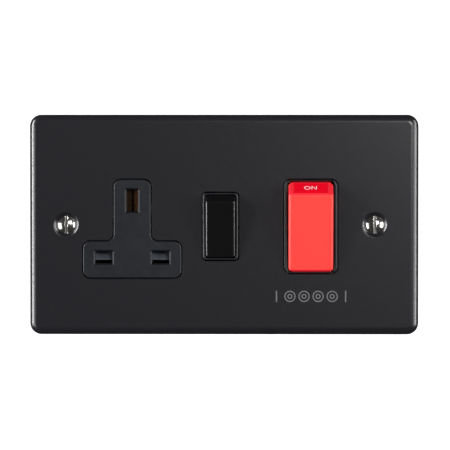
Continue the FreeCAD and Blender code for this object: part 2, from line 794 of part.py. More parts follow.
def rear_housing():
    shell = rounded_block(housing_width, housing_height, flange_back, housing_depth, housing_corner)
    hollow = rounded_block(2 * inner_half_width, 2 * inner_half_height, flange_back, inner_back,
                           housing_corner - housing_wall)
    shell = shell.cut(hollow)
    boss_end = flange_back + boss_length + gap
    for x, z in pillar_places():
        shell = shell.fuse(box(x - pillar_half, x + pillar_half, boss_end, housing_depth, z - pillar_half,
                               z + pillar_half))
    for x, z, size in support_posts():
        shell = shell.fuse(box(x - post_half, x + post_half, switch_layer + bar, inner_back + gap, z - size,
                               z + size))
    for x in terminal_xs():
        for side in (-1, 1):
            half = access_half + funnel_wall
            z = side * terminal_z
            shell = shell.fuse(box(x - half, x + half, terminal_back + gap, inner_back + gap, z - half,
                                   z + half))
    for x in terminal_xs():
        for side in (-1, 1):
            z = side * terminal_z
            shell = shell.cut(box(x - access_half, x + access_half, terminal_back, housing_depth,
                                  z - access_half, z + access_half))
            shell = shell.cut(cable_notch(x, side))
    for x, z in screwed_pillars():
        start = Vector(x, boss_end, z)
        shell = shell.cut(rod(case_screw_r + slide_fit, start, BACKWARD, housing_depth - boss_end))
    for x in screw_places():
        shell = shell.cut(rod(dimple_r + gap, Vector(x, flange_back, 0), BACKWARD, gap - flange_back))
    half = strap_width / 2 + slide_fit
    shell = shell.cut(box(strap_x - half, strap_x + half, earth_layer - slide_fit,
                          earth_layer + bar + slide_fit, inner_half_height, housing_height / 2))
    return shell.removeSplitter()


def support_posts():
    """Where the brass strips are held up from the back wall: x, z and half height."""
    tip = switch_z + cooker.tip_z
    posts = [(x, tip, post_half) for x in (line_pole_x, neutral_pole_x)]
    posts += [(x, switch_z, post_half) for x in (line_pole_x, neutral_pole_x, outlet.x)]
    return posts + [(outlet.x, switch_z + outlet.tip_z, tip_half / 2)]


def cable_notch(x, side):
    """A notch in the top or bottom wall, open to the back, in line with a terminal's bore."""
    wide = cable_bore_r + notch_air
    z0, z1 = sorted((side * inner_half_height, side * housing_height / 2))
    z0 -= slide_fit
    z1 += slide_fit
    return box(x - wide, x + wide, bore_y - wide, housing_depth, z0, z1)


def housing_screws():
    """Pan-head screws through the housing's pillars into the moulding's bosses."""
    head_y = housing_depth
    end_y = flange_back + boss_length - case_screw_bite
    screws = []
    for x, z in screwed_pillars():
        body = rod(case_screw_r, Vector(x, end_y, z), BACKWARD, head_y - end_y)
        head = rod(case_screw_head_r, Vector(x, head_y, z), BACKWARD, case_screw_head)
        screws.append(body.fuse(head))
    return Part.makeCompound(screws)


def save(name, shape):
    shape.exportStep(os.path.join("parts", name + ".step"))


os.makedirs("parts", exist_ok=True)
save("front_plate", front_plate())
save("fixing_screws", fixing_screws())
save("front_moulding", front_moulding())
save("plate_earth_strap", plate_earth_strap())
save("rear_housing", rear_housing())
save("housing_screws", housing_screws())

save("socket_rocker", rocker(outlet, [outlet.x]))
save("socket_plunger", plunger(outlet, outlet.x))
save("socket_plunger_spring", plunger_spring(outlet, outlet.x))
save("socket_contact_arm", contact_arm(outlet, outlet.x))
save("socket_moving_tip", moving_tip(outlet, outlet.x))

save("cooker_rocker", rocker(cooker, [line_pole_x, neutral_pole_x]))
for pole, pole_x in (("line", line_pole_x), ("neutral", neutral_pole_x)):
    save("cooker_plunger_" + pole, plunger(cooker, pole_x))
    save("cooker_spring_" + pole, plunger_spring(cooker, pole_x))
    save("cooker_arm_" + pole, contact_arm(cooker, pole_x))
    save("cooker_moving_tip_" + pole, moving_tip(cooker, pole_x))
    save("supply_strip_" + pole, supply_strip(pole_x))
    save("load_strip_" + pole, load_strip(pole_x))
    save("supply_terminal_" + pole, terminal(pole_x, 1))
    save("load_terminal_" + pole, terminal(pole_x, -1))

save("fixed_contact_tips", fixed_tips())
save("supply_terminal_earth", terminal(earth_terminal_x, 1))
save("load_terminal_earth", terminal(earth_terminal_x, -1))
save("clamp_screws", clamp_screws())
save("line_busbar", line_busbar())
save("neutral_busbar", neutral_busbar())
save("earth_bar", earth_bar())
save("earth_contact", earth_contact())
save("line_contact", line_contact())
save("neutral_contact", neutral_contact())
save("shutter", shutter())
save("shutter_cover", shutter_cover())
save("shutter_spring", shutter_spring())
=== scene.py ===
import math

import bmesh
import bpy
from mathutils import Matrix, Vector


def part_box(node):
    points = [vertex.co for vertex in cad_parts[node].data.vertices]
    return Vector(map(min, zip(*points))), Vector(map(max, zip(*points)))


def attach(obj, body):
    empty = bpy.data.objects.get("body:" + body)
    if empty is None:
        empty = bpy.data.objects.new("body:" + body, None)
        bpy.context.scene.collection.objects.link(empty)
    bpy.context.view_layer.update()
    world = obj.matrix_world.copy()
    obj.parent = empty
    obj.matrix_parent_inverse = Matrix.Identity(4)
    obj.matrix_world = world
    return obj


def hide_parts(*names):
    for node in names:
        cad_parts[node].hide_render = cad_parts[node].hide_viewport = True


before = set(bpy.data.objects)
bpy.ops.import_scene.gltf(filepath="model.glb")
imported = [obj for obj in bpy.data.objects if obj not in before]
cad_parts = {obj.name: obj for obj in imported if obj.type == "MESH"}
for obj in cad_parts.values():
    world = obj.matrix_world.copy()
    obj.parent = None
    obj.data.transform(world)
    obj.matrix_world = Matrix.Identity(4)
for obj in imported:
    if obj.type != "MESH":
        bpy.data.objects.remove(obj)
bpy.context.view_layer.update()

# Wall plate: one dish of pressed steel, powder coated satin black. Its edge is rolled back to the
# wall all round, both screw holes are dimpled, and four tabs behind it are bent over the moulding.
MM = 0.001
LO, HI = 0, 1


def box_mm(node):
    """The low and the high corner of a CAD node, in millimetres."""
    return [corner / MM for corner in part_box(node)]


def outline(corners, inset=0.0, steps=10):
    """Points of a right-angled outline, anticlockwise from the front, each (x, z, radius) corner rounded."""
    least_radius = 0.05
    points = []
    for i, (x, z, radius) in enumerate(corners):
        here = Vector((x, z))
        arriving = (here - Vector(corners[i - 1][:2])).normalized()
        leaving = (Vector(corners[(i + 1) % len(corners)][:2]) - here).normalized()
        turn = 1 if arriving.cross(leaving) > 0 else -1
        inward = Vector((-arriving.y, arriving.x)) + Vector((-leaving.y, leaving.x))
        r = max(radius - turn * inset, least_radius)
        centre = here + inward * inset + (leaving - arriving) * r
        for step in range(steps + 1):
            angle = turn * math.pi / 2 * step / steps
            points.append(centre + Matrix.Rotation(angle, 2) @ (-leaving * r))
    return points


def rectangle(x0, x1, z0, z1, radius):
    return [(x0, z0, radius), (x1, z0, radius), (x1, z1, radius), (x0, z1, radius)]


def circle(x, z, radius, steps=64):
    points = []
    for i in range(steps):
        angle = 2 * math.pi * i / steps
        points.append(Vector((x + radius * math.cos(angle), z + radius * math.sin(angle))))
    return points


def rounding(steps):
    """A quarter round, from crown to side: shares of its radius still to go across, and gone down."""
    for step in range(steps + 1):
        angle = math.pi / 2 * step / steps
        yield 1 - math.sin(angle), 1 - math.cos(angle)


def loop(bm, points, y):
    return [bm.verts.new((p.x, y, p.y)) for p in points]


def bridge(bm, first, second):
    """A band of faces between two rings of as many points."""
    for i, vert in enumerate(first):
        after = (i + 1) % len(first)
        bm.faces.new((vert, first[after], second[after], second[i]))


def skin(bm, rings):
    """Joins a row of (points, y) rings into one wall, and gives back its first and last ring."""
    made = [loop(bm, points, y) for points, y in rings]
    for first, second in zip(made, made[1:]):
        bridge(bm, first, second)
    return made[0], made[-1]


def flat(bm, loops):
    """Fills the flat region between rings, the first one outermost."""
    edges = set()
    for verts in loops:
        for i, vert in enumerate(verts):
            other = verts[(i + 1) % len(verts)]
            edges.add(bm.edges.get((vert, other)) or bm.edges.new((vert, other)))
    bmesh.ops.triangle_fill(bm, use_beauty=True, use_dissolve=False, edges=list(edges))


def block(bm, x0, x1, y0, y1, z0, z1):
    verts = [bm.verts.new((x, y, z)) for x in (x0, x1) for y in (y0, y1) for z in (z0, z1)]
    for face in ((0, 1, 3, 2), (4, 6, 7, 5), (0, 4, 5, 1), (2, 3, 7, 6), (0, 2, 6, 4), (1, 5, 7, 3)):
        bm.faces.new([verts[i] for i in face])


def piece(name, bm, finish, sharp_degrees=35):
    """Turns millimetre geometry into a smooth-shaded object."""
    bmesh.ops.remove_doubles(bm, verts=bm.verts, dist=1e-5)
    bmesh.ops.recalc_face_normals(bm, faces=bm.faces)
    bmesh.ops.scale(bm, vec=(MM, MM, MM), verts=bm.verts)
    mesh = bpy.data.meshes.new(name)
    bm.to_mesh(mesh)
    bm.free()
    mesh.polygons.foreach_set("use_smooth", [True] * len(mesh.polygons))
    mesh.set_sharp_from_angle(angle=math.radians(sharp_degrees))
    mesh.materials.append(finish)
    made = bpy.data.objects.new(name, mesh)
    bpy.context.scene.collection.objects.link(made)
    made.modifiers.new("even_normals", "WEIGHTED_NORMAL").keep_sharp = True
    return made


def build_fine_grain():
    """The node group of every material: fine grain as a bump, and slow clouds in colour and roughness."""
    group = bpy.data.node_groups.new("fine_grain", "ShaderNodeTree")
    for in_out, kind, names in (
            ("INPUT", "NodeSocketColor", ("Color", "Cloud Color")),
            ("INPUT", "NodeSocketFloat", ("Cloud Scale", "Grain Scale", "Grain Strength", "Grain Distance",
                                          "Roughness Low", "Roughness High")),
            ("OUTPUT", "NodeSocketColor", ("Color",)),
            ("OUTPUT", "NodeSocketFloat", ("Roughness",)),
            ("OUTPUT", "NodeSocketVector", ("Normal",))):
        for name in names:
            group.interface.new_socket(name=name, in_out=in_out, socket_type=kind)
    nodes, links = group.nodes, group.links
    given = nodes.new("NodeGroupInput")
    result = nodes.new("NodeGroupOutput")
    place = nodes.new("ShaderNodeTexCoord")
    fine = nodes.new("ShaderNodeTexNoise")
    cloud = nodes.new("ShaderNodeTexNoise")
    for noise, scale in ((fine, "Grain Scale"), (cloud, "Cloud Scale")):
        links.new(place.outputs["Object"], noise.inputs["Vector"])
        links.new(given.outputs[scale], noise.inputs["Scale"])
    bump = nodes.new("ShaderNodeBump")
    links.new(fine.outputs["Fac"], bump.inputs["Height"])
    links.new(given.outputs["Grain Strength"], bump.inputs["Strength"])
    links.new(given.outputs["Grain Distance"], bump.inputs["Distance"])
    links.new(bump.outputs["Normal"], result.inputs["Normal"])
    both = nodes.new("ShaderNodeMath")
    both.operation = "ADD"
    links.new(fine.outputs["Fac"], both.inputs[0])
    links.new(cloud.outputs["Fac"], both.inputs[1])
    spread = nodes.new("ShaderNodeMapRange")
    noises_low, noises_high = 0.7, 1.3
    spread.inputs["From Min"].default_value = noises_low
    spread.inputs["From Max"].default_value = noises_high
    links.new(both.outputs[0], spread.inputs["Value"])
    ranged = nodes.new("ShaderNodeMapRange")
    links.new(spread.outputs["Result"], ranged.inputs["Value"])
    links.new(given.outputs["Roughness Low"], ranged.inputs["To Min"])
    links.new(given.outputs["Roughness High"], ranged.inputs["To Max"])
    links.new(ranged.outputs["Result"], result.inputs["Roughness"])
    tint = nodes.new("ShaderNodeMixRGB")
    links.new(spread.outputs["Result"], tint.inputs["Fac"])
    links.new(given.outputs["Color"], tint.inputs["Color1"])
    links.new(given.outputs["Cloud Color"], tint.inputs["Color2"])
    links.new(tint.outputs["Color"], result.inputs["Color"])
    return group


fine_grain = build_fine_grain()


def material(name, color, cloud, roughness, grain, metallic=0.0, specular=0.5):
    """Takes a colour and its clouds', roughness as (low, high), and grain as (scale, strength, metres)."""
    cloud_grains = 12
    made = bpy.data.materials.new(name)
    made.use_nodes = True
    tree = made.node_tree
    shader = tree.nodes["Principled BSDF"]
    shader.inputs["Metallic"].default_value = metallic
    shader.inputs["Specular IOR Level"].default_value = specular
    texture = tree.nodes.new("ShaderNodeGroup")
    texture.node_tree = fine_grain
    for socket, value in (("Color", (*color, 1)), ("Cloud Color", (*cloud, 1)),
                          ("Cloud Scale", grain[0] / cloud_grains), ("Grain Scale", grain[0]),
                          ("Grain Strength", grain[1]), ("Grain Distance", grain[2]),
                          ("Roughness Low", roughness[0]), ("Roughness High", roughness[1])):
        texture.inputs[socket].default_value = value
    for out, socket in (("Color", "Base Color"), ("Roughness", "Roughness"), ("Normal", "Normal")):
        tree.links.new(texture.outputs[out], shader.inputs[socket])
    return made


plate_paint = material("plate_paint", (0.0082, 0.0077, 0.0094), (0.0074, 0.0069, 0.0086),
                       roughness=(0.23, 0.27), grain=(5200, 0.10, 0.00002), specular=0.45)
plate_box = box_mm("front_plate")
plate_sheet = 1.1
plate_corner = 4.5
plate_face_y = plate_box[LO].y
plate_back_y = plate_face_y + plate_sheet
plate_outline = rectangle(plate_box[LO].x, plate_box[HI].x, plate_box[LO].z, plate_box[HI].z, plate_corner)
roll_width = 3.2
roll_depth = 2.4
roll_steps = 16
inside_round = 0.9
inside_steps = 6

# The plate's openings follow what comes through them. Each trim draws an outline in from its solid's, to
# where the photographed joint lies.
face_x = -34.5
face_half = 19.5
stem_half = 7.5
face_low = -21.1
face_high = 17.9
shoulder_z = -6.2
face_radius = 3.2
neck_radius = 2.5
face_trim = 0.32
face_corners = [
    (face_x - face_half, face_low, face_radius), (face_x + face_half, face_low, face_radius),
    (face_x + face_half, shoulder_z, face_radius), (face_x + stem_half, shoulder_z, neck_radius),
    (face_x + stem_half, face_high, face_radius), (face_x - stem_half, face_high, face_radius),
    (face_x - stem_half, shoulder_z, neck_radius), (face_x - face_half, shoulder_z, face_radius),
]
switch_z = -0.65
bezels = {
    "cooker": {"x": 35.3, "half_x": 10.35, "half_z": 18.313, "radius": 2.4, "trim": 0.1},
    "socket": {"x": 0.0, "half_x": 7.1, "half_z": 13.344, "radius": 1.5, "trim": 0.25},
}
opening_gap = 0.5
opening_lip = 0.03
lip_steps = 5


def about_switch(switch, half_x, half_z, radius):
    x = bezels[switch]["x"]
    return rectangle(x - half_x, x + half_x, switch_z - half_z, switch_z + half_z, radius)


bm = bmesh.new()
rings = [(outline(plate_outline, roll_width * short), plate_face_y + roll_depth * down)
         for short, down in rounding(roll_steps)]
rings += [(outline(plate_outline), 0.0), (outline(plate_outline, plate_sheet), 0.0)]
rings += [(outline(plate_outline, plate_sheet + inside_round * down), plate_back_y + inside_round * short)
          for short, down in rounding(inside_steps)]
rim, inside_rim = skin(bm, rings)
front_loops = [rim]
back_loops = [inside_rim]
plate_openings = [(face_corners, face_trim)]
plate_openings += [(about_switch(switch, bezel["half_x"], bezel["half_z"], bezel["radius"]), bezel["trim"])
                   for switch, bezel in bezels.items()]
for corners, trim in plate_openings:
    grow = opening_gap - trim
    rings = [(outline(corners, -grow - opening_lip * short), plate_face_y + opening_lip * down)
             for short, down in rounding(lip_steps)]
    lip, back = skin(bm, rings + [(outline(corners, -grow), plate_back_y)])
    front_loops.append(lip)
    back_loops.append(back)
screw_x = 60.3
dimple_r = 5.15
dimple_hole_r = 1.95
dimple_depth = 2.9
dimple_ease = 0.28
dimple_steps = 14
dimple_back_r = 4.85
dimple_back_y = -0.1
dimple_back_edge = 0.3
for x in (-screw_x, screw_x):
    rings = []
    for step in range(dimple_steps + 1):
        across = step / dimple_steps
        fall = (math.hypot(across, dimple_ease) - dimple_ease) / (math.hypot(1, dimple_ease) - dimple_ease)
        radius = dimple_r - (dimple_r - dimple_hole_r) * across
        rings.append((circle(x, 0, radius), plate_face_y + dimple_depth * fall))
    lip, floor = skin(bm, rings + [(circle(x, 0, dimple_hole_r), dimple_back_y)])
    under_lip, under_floor = skin(bm, [
        (circle(x, 0, dimple_back_r), plate_back_y),
        (circle(x, 0, dimple_back_r), dimple_back_y - dimple_back_edge),
        (circle(x, 0, dimple_back_r - dimple_back_edge), dimple_back_y)])
    bridge(bm, floor, under_floor)
    front_loops.append(lip)
    back_loops.append(under_lip)
flat(bm, front_loops)
flat(bm, back_loops)
flange_z = 37.0
flange_front_y = -3.4
flange_back_y = -0.9
tab_x = 25.0
tab_half = 3.0
tab_sheet = 0.8
tab_hook = 2.0
tab_gap = 0.15
for side in (-1, 1):
    for x in (-tab_x, tab_x):
        near = side * (flange_z + tab_gap)
        far = near + side * tab_sheet
        tip = side * (flange_z - tab_hook)
        block(bm, x - tab_half, x + tab_half, flange_front_y, flange_back_y, *sorted((near, far)))
        block(bm, x - tab_half, x + tab_half, flange_back_y, flange_back_y + tab_sheet, *sorted((tip, far)))
plate = piece("plate_dish", bm, plate_paint)
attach(plate, "casing")
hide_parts("front_plate")

# Front moulding: the socket's face, both switch bezels and the flange that carries them behind the
# plate, one matt black moulding with a fine spark-eroded grain. A channel runs round what stands proud.
moulding_plastic = material("moulding_plastic", (0.0041, 0.0048, 0.0069), (0.0037, 0.0044, 0.0063),
                            roughness=(0.34, 0.42), grain=(3800, 0.12, 0.00004), specular=0.35)
face_y = -4.8
face_lip = 0.3
face_lip_steps = 6
channel_width = 0.55
channel_depth = 1.5
channel_floor_y = flange_front_y + channel_depth
slot_bevel = 0.62
slot_corner = 0.15
earth_slot = rectangle(-36.8, -32.2, 5.1, 13.7, slot_corner)
line_slot = rectangle(-26.76, -20.01, -15.18, -10.48, slot_corner)
neutral_slot = rectangle(-48.99, -42.24, -15.18, -10.48, slot_corner)
bezel_y = -5.1
bezel_least_radius = 0.3
bead_steps = 5
opening_steps = 3
openings = {
    "cooker": {"pivot_y": 3.8836, "swing_r": 19.95, "half_x": 9.15, "corner": 1.3, "side_bead": 0.5,
               "end_bead": 0.17, "foot_y": -4.42, "ear_half": 3.0},
    "socket": {"pivot_y": 0.1255, "swing_r": 13.45, "half_x": 5.9, "corner": 0.75, "side_bead": 0.45,
               "end_bead": 0.28, "foot_y": -3.25, "ear_half": 2.2},
}


def rocker_opening(switch, y, grow_x=0.0, grow_z=0.0):
    """The opening's outline at a depth: flat sides, and ends that follow the rocker's swing."""
    opening = openings[switch]
    half_z = math.sqrt(opening["swing_r"] ** 2 - (opening["pivot_y"] - y) ** 2)
    corner = opening["corner"] + (grow_x + grow_z) / 2
    return outline(about_switch(switch, opening["half_x"] + grow_x, half_z + grow_z, corner), steps=6)


def bezel_outline(switch, in_x, in_z):
    """The bezel's outline, drawn in by one amount at its sides and by another at its ends."""
    bezel = bezels[switch]
    corner = max(bezel["radius"] - (in_x + in_z) / 2, bezel_least_radius)
    half_x = bezel["half_x"] - bezel["trim"] - in_x
    half_z = bezel["half_z"] - bezel["trim"] - in_z
    return outline(about_switch(switch, half_x, half_z, corner))


def side_blocks(bm, switch, near, far, y0, y1, half_z):
    """A block at each side of a switch, between two distances from its middle."""
    for side in (-1, 1):
        x0, x1 = sorted(bezels[switch]["x"] + side * out for out in (near, far))
        block(bm, x0, x1, y0, y1, switch_z - half_z, switch_z + half_z)


bm = bmesh.new()
flange_half_x = 57.0
flange_corner = 3.0
corner_steps = 8
notch_r = 5.15
notch_steps = 16
notch_turn = math.asin(math.sqrt(notch_r ** 2 - (screw_x - flange_half_x) ** 2) / notch_r)
flange_corners = outline(rectangle(-flange_half_x, flange_half_x, -flange_z, flange_z, flange_corner),
                         steps=corner_steps)
notch = []
for step in range(notch_steps + 1):
    angle = notch_turn * (2 * step / notch_steps - 1)
    notch.append(Vector((screw_x - notch_r * math.cos(angle), notch_r * math.sin(angle))))
flange_points = []
for corner, side in enumerate((0, 1, 0, -1)):
    first = corner * (corner_steps + 1)
    flange_points += flange_corners[first:first + corner_steps + 1]
    if side:
        flange_points += [side * point for point in notch]
flange_front, flange_back = skin(bm, [(flange_points, flange_front_y), (flange_points, flange_back_y)])
front_loops = [flange_front]
back_loops = [flange_back]

rings = [(outline(face_corners, face_trim + face_lip * short), face_y + face_lip * down)
         for short, down in rounding(face_lip_steps)]
lip, wall = skin(bm, rings + [(outline(face_corners, face_trim), channel_floor_y),
                              (outline(face_corners, face_trim - channel_width), channel_floor_y),
                              (outline(face_corners, face_trim - channel_width), flange_front_y)])
front_loops.append(wall)
face_loops = [lip]
for slot in (earth_slot, line_slot, neutral_slot):
    wall_points = outline(slot, steps=4)
    mouth, end = skin(bm, [(outline(slot, -slot_bevel, 4), face_y), (wall_points, face_y + slot_bevel),
                           (wall_points, flange_back_y)])
    face_loops.append(mouth)
    back_loops.append(end)
flat(bm, face_loops)

hole_flare = 0.65
web_inset = 0.02
web_short = 3.0
web_into_bezel = 0.1
floor_lap_x = 0.4
floor_lap_z = 0.3
ear_sheet = 1.8
ear_short = 1.6
for switch, opening in openings.items():
    outer_rings = []
    inner_rings = []
    for short, down in rounding(bead_steps):
        bead_x = opening["side_bead"] * short
        bead_z = opening["end_bead"] * short
        y = bezel_y + opening["end_bead"] * down
        outer_rings.append((bezel_outline(switch, bead_x, bead_z), y))
        inner_rings.append((rocker_opening(switch, y, bead_x, bead_z), y))
    foot_y = opening["foot_y"]
    outer_rings.append((bezel_outline(switch, 0, 0), foot_y))
    bead_end_y = y
    for step in range(1, opening_steps + 1):
        y = bead_end_y + (foot_y - bead_end_y) * step / opening_steps
        inner_rings.append((rocker_opening(switch, y), y))
    lip, foot = skin(bm, outer_rings)
    mouth, end = skin(bm, inner_rings)
    flat(bm, [lip, mouth])
    flat(bm, [foot, end])
    hole_front, hole_back = skin(bm, [
        (bezel_outline(switch, -channel_width, -channel_width), flange_front_y),
        (bezel_outline(switch, -channel_width, -channel_width - hole_flare), flange_back_y)])
    front_loops.append(hole_front)
    back_loops.append(hole_back)
    near = opening["half_x"]
    far = bezels[switch]["half_x"] - bezels[switch]["trim"] - web_inset
    end_z = bezels[switch]["half_z"]
    side_blocks(bm, switch, near, far, foot_y - web_into_bezel, flange_back_y, end_z - web_short)
    side_blocks(bm, switch, near, far + channel_width + floor_lap_x, channel_floor_y, flange_back_y,
                end_z - bezels[switch]["trim"] + channel_width + floor_lap_z)
    side_blocks(bm, switch, near, near + ear_sheet, flange_back_y, opening["pivot_y"] - ear_short,
                opening["ear_half"])
flat(bm, front_loops)
flat(bm, back_loops)
boss_x = 48.5
boss_z = 27.0
boss_half = 2.4
boss_long = 6.0
for x, z in ((-boss_x, boss_z), (boss_x, -boss_z), (boss_x, boss_z)):
    block(bm, x - boss_half, x + boss_half, flange_back_y, flange_back_y + boss_long,
          z - boss_half, z + boss_half)
moulding = piece("moulding", bm, moulding_plastic)
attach(moulding, "casing")
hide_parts("front_moulding")

# Rockers: gloss mouldings with a flat face and a steep slope at each end, rounded along both sides.
# The cooker's is red and the socket's black; each is hollow and turns on two pins at its sides.
moulded_gloss = (1800, 0.03, 0.00001)
red_gloss = material("rocker_red_gloss", (0.75, 0.041, 0.034), (0.73, 0.039, 0.032),
                     roughness=(0.30, 0.33), grain=moulded_gloss, specular=0.36)
# The cooker's slope faces take a darker, deeper red than its face: painted shade on slopes turned up, away
# from the lamps.
red_slope_painted_shade = material("rocker_red_slope", (0.63, 0.017, 0.029), (0.61, 0.015, 0.027),
                     roughness=(0.23, 0.25), grain=moulded_gloss, specular=0.35)
black_gloss = material("rocker_black_gloss", (0.0028, 0.0028, 0.0030), (0.0024, 0.0024, 0.0026),
                       roughness=(0.15, 0.17), grain=moulded_gloss, specular=0.42)
rockers = {
    "cooker": {"half_x": 8.72, "face_ahead": 12.45, "face_half": 15.396, "slope_depth": 7.0, "skirt": 3.5,
               "tilt": 11.0, "side": 1.1, "pin_r": 1.5, "crease": 1.2, "low_crease": 1.7, "corner": 0.55,
               "low_corner": 1.2, "low_reach": 0.55},
    "socket": {"half_x": 5.75, "face_ahead": 7.35, "face_half": 11.085, "slope_depth": 4.0, "skirt": 1.6,
               "tilt": 9.0, "side": 0.75, "pin_r": 1.25, "crease": 0.8, "low_crease": 1.2, "corner": 0.5,
               "low_corner": 0.6, "low_reach": 0.3},
}
slope = math.radians(66.0)
skirt_round = 0.45
corner_points = 5
corner_rest = 0.25
slope_starts = 0.1
roll_over_steps = 7
rocker_wall = 1.5
hollow_taper = 0.86
pin_long = 1.6
pin_chamfer = 0.25
pin_steps = 32
lug_wall = 1.2
lug_lap = 0.5


def corner_path(points, radii, steps=8):
    """An open run through (y, z) points as (point, normal) pairs, each corner rounded by its own radius."""
    points = [Vector(point) for point in points]
    ways = [(after - here).normalized() for here, after in zip(points, points[1:])]
    normals = [Vector((-way.y, way.x)) for way in ways]
    run = [(points[0], normals[0])]
    for here, arriving, leaving, normal, radius in zip(points[1:], ways, ways[1:], normals, radii):
        turn = abs(arriving.angle_signed(leaving))
        if turn < 1e-4:
            run.append((here, normal))
            continue
        sign = 1 if arriving.cross(leaving) > 0 else -1
        centre = here - arriving * (radius * math.tan(turn / 2)) + normal * radius * sign
        for step in range(steps + 1):
            spoke = Matrix.Rotation(sign * turn * step / steps, 2) @ normal
            run.append((centre - spoke * radius * sign, spoke))
    return run + [(points[-1], normals[-1])]


def drawn_in(z, size, end):
    """How far a side draws in at a height, which rounds the corners that show from the front."""
    if z > 0:
        corner, reach = size["corner"], end
    else:
        corner, reach = size["low_corner"], size["face_half"] + size["low_reach"]
    along = min(max(abs(z) - (reach - corner), 0), corner)
    return corner - math.sqrt(corner ** 2 - along ** 2)


def turn_to_rest(bm, switch):
    """Turns level geometry to the rocker's rest, about its pins."""
    pivot = Vector((bezels[switch]["x"], openings[switch]["pivot_y"], switch_z))
    turn = Matrix.Rotation(math.radians(rockers[switch]["tilt"]), 3, "X")
    bmesh.ops.rotate(bm, cent=pivot, matrix=turn, verts=bm.verts)


def rocker_mesh(switch):
    """A rocker at rest: its profile swept across, with both long edges rolled over to the sides."""
    size = rockers[switch]
    middle_x = bezels[switch]["x"]
    pivot_y = openings[switch]["pivot_y"]
    front_y = pivot_y - size["face_ahead"]
    slope_y = front_y + size["slope_depth"]
    skirt_y = slope_y + size["skirt"]
    end = size["face_half"] + size["slope_depth"] / math.tan(slope)
    upper = []
    for step in range(corner_points + 1):
        z = end - size["corner"] + (size["corner"] - corner_rest) * step / corner_points
        upper.append((front_y + (z - size["face_half"]) * math.tan(slope), z))
    profile = [(skirt_y, -end), (slope_y, -end), (front_y, -size["face_half"]), (front_y, size["face_half"]),
               *upper, (slope_y, end), (skirt_y, end)]
    radii = (skirt_round, size["low_crease"], size["crease"], *[0] * len(upper), skirt_round)
    run = corner_path(profile, radii)

    bm = bmesh.new()
    rows = []
    roll = list(rounding(roll_over_steps))
    for side, turns in ((-1, reversed(roll)), (1, roll)):
        for short, down in turns:
            side_x = middle_x + side * (size["half_x"] - size["side"] * short)
            row = []
            for point, normal in run:
                place = point - normal * (size["side"] * down)
                x = side_x - side * drawn_in(point.y, size, end)
                row.append(bm.verts.new((x, place.x, switch_z + place.y)))
            rows.append(row)
    # Slope faces take the second material, which on the cooker is the darker red of painted shade.
    on_slope = [point.x > front_y + slope_starts for point, normal in run]
    for first, second in zip(rows, rows[1:]):
        for i in range(len(run) - 1):
            face = bm.faces.new((first[i], first[i + 1], second[i + 1], second[i]))
            face.material_index = int(on_slope[i] or on_slope[i + 1])
    bm.faces.new(rows[0])
    bm.faces.new(list(reversed(rows[-1])))

    left = rows[0][0].co.x + rocker_wall
    right = rows[-1][0].co.x - rocker_wall
    low = switch_z - end + rocker_wall
    high = switch_z + end - rocker_wall
    hollow = ((left, low), (right, low), (right, high), (left, high))
    inner = [bm.verts.new((x, skirt_y, z)) for x, z in hollow]
    deep = [bm.verts.new((v.co.x, front_y + rocker_wall, v.co.z * hollow_taper)) for v in inner]
    bm.faces.new([row[0] for row in rows] + [inner[1], inner[0]])
    bm.faces.new([row[-1] for row in reversed(rows)] + [inner[3], inner[2]])
    bm.faces.new((rows[0][0], inner[0], inner[3], rows[0][-1]))
    bm.faces.new((rows[-1][0], rows[-1][-1], inner[2], inner[1]))
    bridge(bm, inner, deep)
    bm.faces.new(deep)

    pin_r = size["pin_r"]
    lug = pin_r + lug_wall
    for side in (-1, 1):
        outer = middle_x + side * size["half_x"]
        rings = []
        for out, r in ((0, pin_r), (pin_long - pin_chamfer, pin_r), (pin_long, pin_r - pin_chamfer)):
            rings.append([bm.verts.new((outer + side * out, p.x, p.y))
                          for p in circle(pivot_y, switch_z, r, pin_steps)])
        for first, second in zip(rings, rings[1:]):
            bridge(bm, first, second)
        bm.faces.new(rings[-1])
        x0, x1 = sorted((outer, outer - side * rocker_wall))
        block(bm, x0, x1, skirt_y - lug_lap, pivot_y + lug, switch_z - lug, switch_z + lug)
    turn_to_rest(bm, switch)
    return bm


for switch, finish, slope_material, slot, node in (
        ("cooker", red_gloss, red_slope_painted_shade, "rocker_red", "cooker_rocker"),
        ("socket", black_gloss, black_gloss, "rocker_black", "socket_rocker")):
    made = piece(switch + "_rocker_cap", rocker_mesh(switch), finish)
    made.data.materials.append(slope_material)
    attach(made, switch + "_rocker_body")
    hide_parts(node)

# Panel on the cooker rocker's upper slope: a deep red gloss sheet, flush but for its edge, whose darker red
# is painted shade on the upturned slope. The word ON is filled in white on it.
panel_painted_shade = material("on_panel_painted_shade", (0.57, 0.0011, 0.0105), (0.55, 0.0009, 0.0095),
                       roughness=(0.19, 0.21), grain=moulded_gloss, specular=0.3)
on_white = material("on_mark_white", (0.68, 0.57, 0.59), (0.64, 0.53, 0.55),
                    roughness=(0.42, 0.48), grain=(2400, 0.05, 0.00001))
panel_half = 6.6
panel_start = 0.78
panel_end = 7.2
panel_out = 0.03
panel_back = -0.2
letters_out = 0.05
letters_near = 3.1
letters_far = 5.2
stroke = 0.26
slant = stroke * 1.25
o_left, o_right, o_radius = -2.6, -0.22, 1.0
n_left, n_right = 0.22, 2.22


def slope_point(x, along, out):
    """A point of the level rocker's upper slope, by its distance across, down from the crease, and off it."""
    size = rockers["cooker"]
    crease = Vector((bezels["cooker"]["x"], openings["cooker"]["pivot_y"] - size["face_ahead"],
                     switch_z + size["face_half"]))
    down_slope = Vector((0, math.sin(slope), math.cos(slope)))
    off_slope = Vector((0, -math.cos(slope), math.sin(slope)))
    return crease + Vector((x, 0, 0)) + down_slope * along + off_slope * out


def slope_ring(bm, points, out):
    return [bm.verts.new(slope_point(x, along, out)) for x, along in points]


